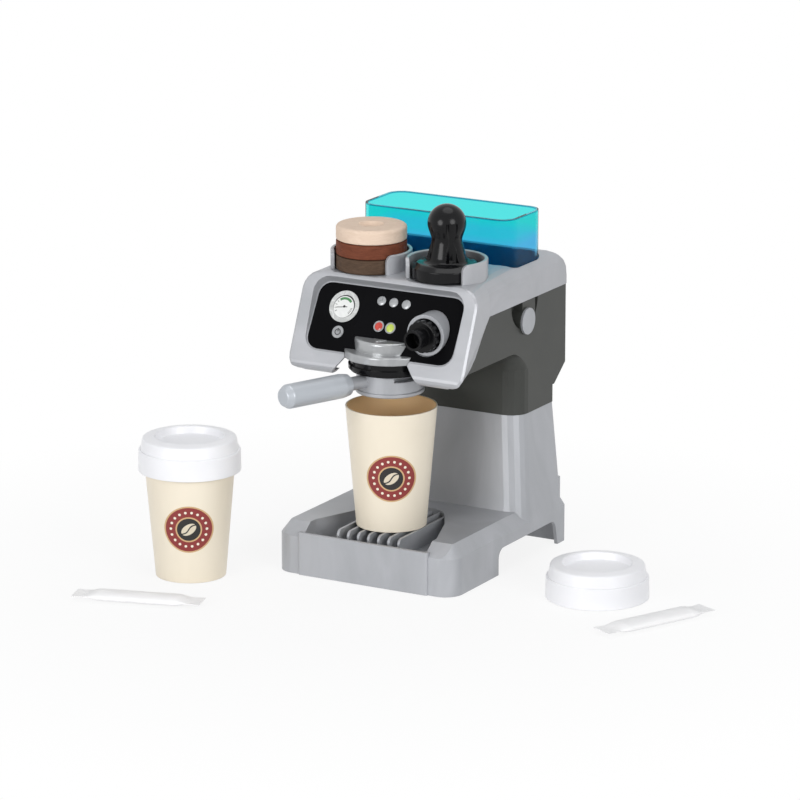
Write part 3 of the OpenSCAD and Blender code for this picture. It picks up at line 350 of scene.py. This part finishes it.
def dome(name, x, s, radius, height, material):
    """A raised round foil with a crowned top, made from half a ball that is pressed flat."""
    bpy.ops.object.select_all(action="DESELECT")
    bpy.ops.mesh.primitive_uv_sphere_add(segments=40, ring_count=20, radius=1)
    piece = bpy.context.object
    piece.name = name
    bpy.ops.object.mode_set(mode="EDIT")
    bpy.ops.mesh.select_all(action="SELECT")
    bpy.ops.mesh.bisect(plane_co=(0, 0, 0), plane_no=(0, 0, 1), clear_inner=True, use_fill=True)
    bpy.ops.object.mode_set(mode="OBJECT")
    spot = Matrix.Translation(Vector((x, s, label_face)) * mm)
    size = Matrix.Diagonal((radius * mm, radius * mm, height * mm, 1))
    piece.matrix_world = panel_place @ spot @ size
    bpy.ops.object.transform_apply(location=True, rotation=True, scale=True)
    bpy.ops.object.shade_smooth_by_angle(angle=math.radians(40))
    on_label(piece, material)


def lamp_lens(name, light, dark):
    return moulded_plastic(name, light, dark, 0.15, streak=(200, 200, 200), bump=0.01,
                           coat=0.6, edge=0.0001)


for index, (x, s) in enumerate(((-7, 15.1), (2.3, 14.9), (12, 14.7)), 1):
    dome("silver_dome_%d" % index, x, s, radius=3.3, height=0.8, material=print_silver)
lamp_red = lamp_lens("lamp_red", (0.72, 0.05, 0.02), (0.45, 0.02, 0.01))
lamp_green = lamp_lens("lamp_green", (0.62, 0.72, 0.10), (0.40, 0.55, 0.06))
for name, x, s, material in (("red_lamp", -4.2, -2.6, lamp_red),
                             ("green_lamp", 4.7, -2.8, lamp_green)):
    foil(name + "_ring", x, s, 3.9, print_silver, thickness=0.25, hole=2.9)
    dome(name, x, s, radius=2.95, height=0.6, material=material)


# ---- Group head, collar and lock ring
# A silver two-step disc sits over a black collar, and the lock ring turns inside
# the collar with the filter holder.
bright_silver = moulded_plastic("bright_silver", (0.44, 0.45, 0.455), (0.33, 0.34, 0.35), 0.22,
                                streak=(40, 40, 18), bump=0.03, metallic=0.45, coat=0.15)
finish_node("group_head", bright_silver)
gloss_black = moulded_plastic("gloss_black", (0.005, 0.005, 0.006), (0.003, 0.003, 0.0035), 0.16,
                              streak=(20, 20, 20), grain=500, bump=0.02, gloss=0.2)
finish_node("group_collar", gloss_black)
finish_node("lock_ring", gloss_black)


# ---- Filter holder and grip
# The holder is a silver bowl with a basket and a short neck, and the grip is
# pressed onto a pin at the end of the neck.
finish_node("filter_holder", silver)
finish_node("filter_basket", silver)
grip_silver = moulded_plastic("grip_silver", (0.50, 0.53, 0.565), (0.44, 0.465, 0.50), 0.34,
                              streak=(14, 14, 14), bump=0.03, metallic=0.3, gloss=0.35)
finish_node("holder_grip", grip_silver)


# ---- Knob, its ring and the side discs
# A fluted black knob with an open tube turns in a silver ring. A silver disc
# caps the barrel in each side pocket.
finish_node("knob_ring", silver)
finish_node("knob", gloss_black)
for side in ("side_disc_left", "side_disc_right"):
    finish_node(side, silver)


# ---- Screws
# Plain steel screws hold the column, the hood, the group head and the knob.
steel = moulded_plastic("plain_steel", (0.60, 0.60, 0.62), (0.48, 0.48, 0.50), 0.30,
                        streak=(300, 300, 40), grain=3000, bump=0.04, metallic=1.0, edge=0.0002)
for screws in ("base_screws", "hood_screws", "group_screws", "knob_screw"):
    finish_node(screws, steel)


# ---- Water tank
# A thin open box of see-through teal plastic lifts out of the hood. Low down a
# deeper blue is painted into its colour as the shade of the hood's pocket behind
# the wall.
def teal_tank_with_painted_shade(name):
    """Clear teal with painted shade: deeper blue low down, turning to teal between two heights,
    dark at the rim.
    """
    painted_shade_z, teal_z, rim_z, cloud_height = 0.2205, 0.2285, 0.2361, 0.006
    made = bpy.data.materials.new(name)
    made.use_nodes = True
    tree = made.node_tree
    shader = tree.nodes["Principled BSDF"]
    shader.inputs["Transmission Weight"].default_value = 1.0
    shader.inputs["IOR"].default_value = 1.12
    shader.inputs["Roughness"].default_value = 0.03
    place = tree.nodes.new("ShaderNodeTexCoord")
    split = tree.nodes.new("ShaderNodeSeparateXYZ")
    tree.links.new(place.outputs["Object"], split.inputs[0])
    cloud = tree.nodes.new("ShaderNodeTexNoise")
    cloud.inputs["Scale"].default_value = 35
    tree.links.new(place.outputs["Object"], cloud.inputs["Vector"])
    sway = tree.nodes.new("ShaderNodeMath")
    sway.operation = "MULTIPLY_ADD"
    sway.inputs[1].default_value = cloud_height
    tree.links.new(cloud.outputs["Fac"], sway.inputs[0])
    tree.links.new(split.outputs["Z"], sway.inputs[2])
    height = tree.nodes.new("ShaderNodeMapRange")
    height.inputs["From Min"].default_value = painted_shade_z
    height.inputs["From Max"].default_value = teal_z
    tree.links.new(sway.outputs[0], height.inputs["Value"])
    # The deeper blue low down is painted shade, and the teal above it is the plastic's own tint
    tint = tree.nodes.new("ShaderNodeValToRGB")
    tint.color_ramp.elements[0].color = (0.24, 0.65, 0.86, 1)
    tint.color_ramp.elements[1].color = (0.10, 0.78, 0.78, 1)
    tree.links.new(height.outputs[0], tint.inputs[0])
    # The rim gathers the colour of the whole wall and shows as a dark line
    rim = tree.nodes.new("ShaderNodeMath")
    rim.operation = "GREATER_THAN"
    rim.inputs[1].default_value = rim_z
    tree.links.new(split.outputs["Z"], rim.inputs[0])
    dark = tree.nodes.new("ShaderNodeMix")
    dark.data_type = "RGBA"
    tree.links.new(rim.outputs[0], dark.inputs["Factor"])
    tree.links.new(tint.outputs[0], dark.inputs["A"])
    dark.inputs["B"].default_value = (0.02, 0.30, 0.42, 1)
    tree.links.new(dark.outputs["Result"], shader.inputs["Base Color"])
    return made


finish_node("water_tank", teal_tank_with_painted_shade("teal_plastic_with_painted_shade"))


# ---- Pods
# Three matt discs are stacked in the left well: dark brown, red brown and cream.
# Fine rings run round the sides of the brown ones.
def pod_plastic(name, light, dark, rings):
    """Matt plastic with fine rings round it, as deep as the last value says."""
    made = moulded_plastic(name, light, dark, 0.62, streak=(120, 120, 400), grain=1500,
                           bump=0.25, gloss=0.15)
    tree = made.node_tree
    place = tree.nodes.new("ShaderNodeTexCoord")
    lines = tree.nodes.new("ShaderNodeTexWave")
    lines.bands_direction = "Z"
    lines.inputs["Scale"].default_value = 260
    lines.inputs["Distortion"].default_value = 1.5
    tree.links.new(place.outputs["Object"], lines.inputs["Vector"])
    groove = tree.nodes.new("ShaderNodeBump")
    groove.inputs["Strength"].default_value = rings
    groove.inputs["Distance"].default_value = 0.0002
    shader = tree.nodes["Principled BSDF"]
    tree.links.new(shader.inputs["Normal"].links[0].from_socket, groove.inputs["Normal"])
    tree.links.new(lines.outputs["Fac"], groove.inputs["Height"])
    tree.links.new(groove.outputs[0], shader.inputs["Normal"])
    return made


for pod, name, light, dark, rings in (
        ("pod_bottom", "dark_brown", (0.110, 0.068, 0.044), (0.070, 0.043, 0.028), 0.6),
        ("pod_middle", "red_brown", (0.19, 0.058, 0.030), (0.125, 0.036, 0.018), 0.5),
        ("pod_top", "pod_cream", (0.83, 0.66, 0.53), (0.76, 0.59, 0.46), 0.05)):
    finish_node(pod, pod_plastic(name, light, dark, rings))


# ---- Tamper
# A glossy black tamper with a fluted neck and a ball stands in the right well.
finish_node("tamper", gloss_black)


# ---- Cups
# Two tapered cream cups with thin walls. Each has a round printed badge that
# wraps its side: a brick-red band of dots round a dark middle with a bean.
cup_foot_r, cup_rim_r = 0.0238, 0.031


def calc(tree, work, *values):
    """One step of arithmetic on numbers or on what other steps give."""
    step = tree.nodes.new("ShaderNodeMath")
    step.operation = work
    for slot_number, value in enumerate(values):
        if isinstance(value, (int, float)):
            step.inputs[slot_number].default_value = value
        else:
            tree.links.new(value, step.inputs[slot_number])
    return step.outputs[0]


def squares(tree, a, b):
    return calc(tree, "ADD", calc(tree, "MULTIPLY", a, a), calc(tree, "MULTIPLY", b, b))


def cup_cream_with_painted_shade(cup):
    """Cream outside, and tan painted shade inside: above the floor and nearer the axis than the
    middle of the wall.
    """
    half_wall, floor_top = 0.0007, 0.0028
    made = moulded_plastic(cup + "_cream", (0.88, 0.80, 0.66), (0.84, 0.76, 0.62), 0.38,
                           streak=(18, 18, 10), bump=0.03, gloss=0.35)
    tree = made.node_tree
    low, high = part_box(cup)
    place = tree.nodes.new("ShaderNodeTexCoord")
    split = tree.nodes.new("ShaderNodeSeparateXYZ")
    tree.links.new(place.outputs["Object"], split.inputs[0])
    across = calc(tree, "SUBTRACT", split.outputs["X"], (low.x + high.x) / 2)
    along = calc(tree, "SUBTRACT", split.outputs["Y"], (low.y + high.y) / 2)
    radius = calc(tree, "SQRT", squares(tree, across, along))
    up = calc(tree, "SUBTRACT", split.outputs["Z"], low.z)
    taper = (cup_rim_r - cup_foot_r) / (high.z - low.z)
    skin = calc(tree, "ADD", calc(tree, "MULTIPLY", up, taper), cup_foot_r - half_wall)
    # Inside the cup the cream is darkened to tan as painted shade, warm from light bouncing in
    # it
    inside = calc(tree, "MULTIPLY", calc(tree, "LESS_THAN", radius, skin),
                  calc(tree, "GREATER_THAN", up, floor_top))
    mix = tree.nodes.new("ShaderNodeMix")
    mix.data_type = "RGBA"
    shader = tree.nodes["Principled BSDF"]
    tree.links.new(inside, mix.inputs["Factor"])
    tree.links.new(shader.inputs["Base Color"].links[0].from_socket, mix.inputs["A"])
    mix.inputs["B"].default_value = (0.92, 0.64, 0.34, 1)
    tree.links.new(mix.outputs["Result"], shader.inputs["Base Color"])
    return made


for cup in ("tray_cup", "takeaway_cup"):
    finish_node(cup, cup_cream_with_painted_shade(cup))


def badge_print(name):
    """Rings, dots and a bean in the badge's own UV map, with its middle at 0.5, 0.5."""
    band_r, dots_r, dot_r, ring_r, middle_r, dots = 0.94, 0.73, 0.055, 0.54, 0.48, 18
    bean_long, bean_short, crease_half, wave_rate, wave_height = 0.34, 0.21, 0.028, 9.0, 0.05
    tan = (0.62, 0.40, 0.20, 1)
    cream = (0.86, 0.80, 0.66, 1)
    brick = (0.25, 0.028, 0.026, 1)
    dark = (0.014, 0.012, 0.012, 1)
    pale = (0.70, 0.62, 0.48, 1)
    made = bpy.data.materials.new(name)
    made.use_nodes = True
    tree = made.node_tree
    shader = tree.nodes["Principled BSDF"]
    shader.inputs["Roughness"].default_value = 0.36
    place = tree.nodes.new("ShaderNodeUVMap")
    split = tree.nodes.new("ShaderNodeSeparateXYZ")
    tree.links.new(place.outputs[0], split.inputs[0])
    u = calc(tree, "MULTIPLY", calc(tree, "SUBTRACT", split.outputs["X"], 0.5), 2.0)
    v = calc(tree, "MULTIPLY", calc(tree, "SUBTRACT", split.outputs["Y"], 0.5), 2.0)
    radius = calc(tree, "SQRT", squares(tree, u, v))

    def paint(under, colour, where):
        mix = tree.nodes.new("ShaderNodeMix")
        mix.data_type = "RGBA"
        tree.links.new(where, mix.inputs["Factor"])
        if isinstance(under, tuple):
            mix.inputs["A"].default_value = under
        else:
            tree.links.new(under, mix.inputs["A"])
        mix.inputs["B"].default_value = colour
        return mix.outputs["Result"]

    colour = paint(tan, brick, calc(tree, "LESS_THAN", radius, band_r))
    angle = calc(tree, "ARCTAN2", v, u)
    cell = calc(tree, "PINGPONG", calc(tree, "ADD", angle, math.pi), math.pi / dots)
    across = calc(tree, "MULTIPLY", cell, dots_r)
    up = calc(tree, "SUBTRACT", radius, dots_r)
    dot = calc(tree, "SQRT", squares(tree, across, up))
    colour = paint(colour, cream, calc(tree, "LESS_THAN", dot, dot_r))
    colour = paint(colour, tan, calc(tree, "LESS_THAN", radius, ring_r))
    colour = paint(colour, dark, calc(tree, "LESS_THAN", radius, middle_r))
    # The bean leans over the middle, and a wavy crease splits it lengthwise
    lean = math.radians(35)
    bean_x = calc(tree, "ADD", calc(tree, "MULTIPLY", u, math.cos(lean)),
                  calc(tree, "MULTIPLY", v, math.sin(lean)))
    bean_y = calc(tree, "SUBTRACT", calc(tree, "MULTIPLY", v, math.cos(lean)),
                  calc(tree, "MULTIPLY", u, math.sin(lean)))
    bean = squares(tree, calc(tree, "DIVIDE", bean_x, bean_long),
                   calc(tree, "DIVIDE", bean_y, bean_short))
    colour = paint(colour, pale, calc(tree, "LESS_THAN", bean, 1.0))
    swing = calc(tree, "SINE", calc(tree, "MULTIPLY", bean_x, wave_rate))
    wave = calc(tree, "MULTIPLY", swing, wave_height)
    crease = calc(tree, "ABSOLUTE", calc(tree, "SUBTRACT", bean_y, wave))
    split_bean = calc(tree, "MULTIPLY", calc(tree, "LESS_THAN", crease, crease_half),
                      calc(tree, "LESS_THAN", bean, 1.0))
    colour = paint(colour, dark, split_bean)
    tree.links.new(colour, shader.inputs["Base Color"])
    fibre = tree.nodes.new("ShaderNodeTexNoise")
    fibre.inputs["Scale"].default_value = 1200
    spot = tree.nodes.new("ShaderNodeTexCoord")
    tree.links.new(spot.outputs["Object"], fibre.inputs["Vector"])
    tooth = tree.nodes.new("ShaderNodeBump")
    tooth.inputs["Strength"].default_value = 0.04
    tooth.inputs["Distance"].default_value = 0.0001
    tree.links.new(fibre.outputs["Fac"], tooth.inputs["Height"])
    tree.links.new(tooth.outputs[0], shader.inputs["Normal"])
    return made


badge_material = badge_print("badge_print")


def wrapped_badge(cup):
    """A round label is laid against the cup from the front right and given its thickness."""
    badge_r, badge_z, start, rings, ring_step = 0.0165, 0.0385, 0.045, 14, 0.00112
    skin_gap, skin_thickness = 0.00004, 0.00006
    low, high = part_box(cup)
    axis = Vector(((low.x + high.x) / 2, (low.y + high.y) / 2, low.z + badge_z))
    out = Vector((math.sin(camera_turn), -math.cos(camera_turn), 0))
    sideways = Vector((math.cos(camera_turn), math.sin(camera_turn), 0))
    bpy.ops.object.select_all(action="DESELECT")
    bpy.ops.mesh.primitive_circle_add(vertices=96, radius=badge_r, fill_type="NGON",
                                      calc_uvs=True, location=axis + out * start,
                                      rotation=(math.pi / 2, 0, camera_turn))
    badge = bpy.context.object
    badge.name = cup + "_badge"
    bpy.ops.object.mode_set(mode="EDIT")
    bpy.ops.mesh.select_all(action="SELECT")
    for _ in range(rings):
        bpy.ops.mesh.inset(thickness=ring_step)
    bpy.ops.object.mode_set(mode="OBJECT")
    # Each point's place in the badge goes into its UV map before the badge is bent
    layer = badge.data.uv_layers.active
    for loop in badge.data.loops:
        spot = badge.data.vertices[loop.vertex_index].co
        layer.data[loop.index].uv = (0.5 + spot.x / (2 * badge_r), 0.5 + spot.y / (2 * badge_r))
    bpy.ops.object.transform_apply(location=True, rotation=True, scale=True)
    for vertex in badge.data.vertices:
        across = (vertex.co - axis).dot(sideways)
        share_up = (vertex.co.z - low.z) / (high.z - low.z)
        wall = cup_foot_r + (cup_rim_r - cup_foot_r) * share_up
        depth = math.sqrt(max(wall * wall - across * across, 0))
        level = vertex.co.z
        vertex.co = axis + sideways * across + out * (depth + skin_gap)
        vertex.co.z = level
    skin = badge.modifiers.new("skin", "SOLIDIFY")
    skin.thickness = skin_thickness
    skin.offset = 1
    bpy.ops.object.modifier_apply(modifier="skin")
    bpy.ops.object.shade_smooth_by_angle(angle=math.radians(40))
    badge.data.materials.append(badge_material)
    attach(badge, cup)


for cup in ("tray_cup", "takeaway_cup"):
    wrapped_badge(cup)


# ---- Lids
# Two milky lids with a deep skirt, a step and a sunk top. One sits on the cup
# and one lies by itself.
lid_white = moulded_plastic("lid_white", (0.91, 0.91, 0.93), (0.88, 0.88, 0.905), 0.30,
                            streak=(25, 25, 25), bump=0.02, gloss=0.4)
finish_node("cup_lid", lid_white)
finish_node("loose_lid", lid_white)


# ---- Sugar sachets
# Two narrow white paper sachets lie on the table. Each is a soft tube of paper,
# pinched flat at both ends and a little creased where it is pinched.
sachet_paper = moulded_plastic("sachet_paper", (0.95, 0.945, 0.945), (0.92, 0.915, 0.915),
                               0.6, streak=(60, 60, 60), grain=1400, bump=0.12, edge=0.0001,
                               gloss=0.2)


def sachet(name, node, middle_x, middle_y, turn, seed):
    """A filled tube whose width and height grow from the crimped ends over the shoulder."""
    long_side, wide_side, crimp, shoulder, lift = 0.088, 0.020, 0.006, 0.012, 0.0033
    half_paper, half_tube, crease_height, soft_height = 0.0002, 0.0029, 0.00012, 0.00015
    crease_rate, soft_rate_x, soft_rate_y = 2600, 210, 380
    pinched_share, tube_share, end_share = 0.78, 0.14, 0.08
    bpy.ops.object.select_all(action="DESELECT")
    bpy.ops.mesh.primitive_grid_add(x_subdivisions=110, y_subdivisions=26, size=1)
    paper_bag = bpy.context.object
    paper_bag.name = name
    paper_bag.scale = (long_side, wide_side, 1)
    bpy.ops.object.transform_apply(location=True, rotation=True, scale=True)
    skin = paper_bag.modifiers.new("skin", "SOLIDIFY")
    skin.thickness = 2 * half_paper
    skin.offset = 0
    bpy.ops.object.modifier_apply(modifier="skin")
    for vertex in paper_bag.data.vertices:
        x, y, z = vertex.co
        side = 1 if z > 0 else -1
        from_end = long_side / 2 - abs(x)
        swell = max(0.0, min(1.0, (from_end - crimp) / shoulder))
        swell = swell * swell * (3 - 2 * swell)
        cross = max(0.0, 1 - (y / (wide_side / 2)) ** 2)
        fading = math.exp(-max(from_end - crimp, 0) / crimp)
        crease = crease_height * math.sin(y * crease_rate + seed) * fading
        soft = soft_height * math.sin(x * soft_rate_x + seed)
        soft = soft * math.sin(y * soft_rate_y + 2 * seed) * swell
        height = half_paper + half_tube * swell * math.sqrt(cross)
        vertex.co.z = side * height + crease + soft * cross
        flare = max(0.0, 1 - from_end / crimp)
        vertex.co.y = y * (pinched_share + tube_share * swell + end_share * flare)
    paper_bag.location = (middle_x, middle_y, lift)
    paper_bag.rotation_euler = (0, 0, turn)
    bpy.ops.object.transform_apply(location=True, rotation=True, scale=True)
    bpy.ops.object.shade_smooth_by_angle(angle=math.radians(60))
    paper_bag.data.materials.append(sachet_paper)
    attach(paper_bag, node)
    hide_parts(node)


sachet("left_sachet", "sachet_left", middle_x=-0.110, middle_y=-0.107,
       turn=math.radians(16.3), seed=0.4)
sachet("right_sachet", "sachet_right", middle_x=0.2096, middle_y=0.0186,
       turn=math.radians(64.9), seed=1.7)
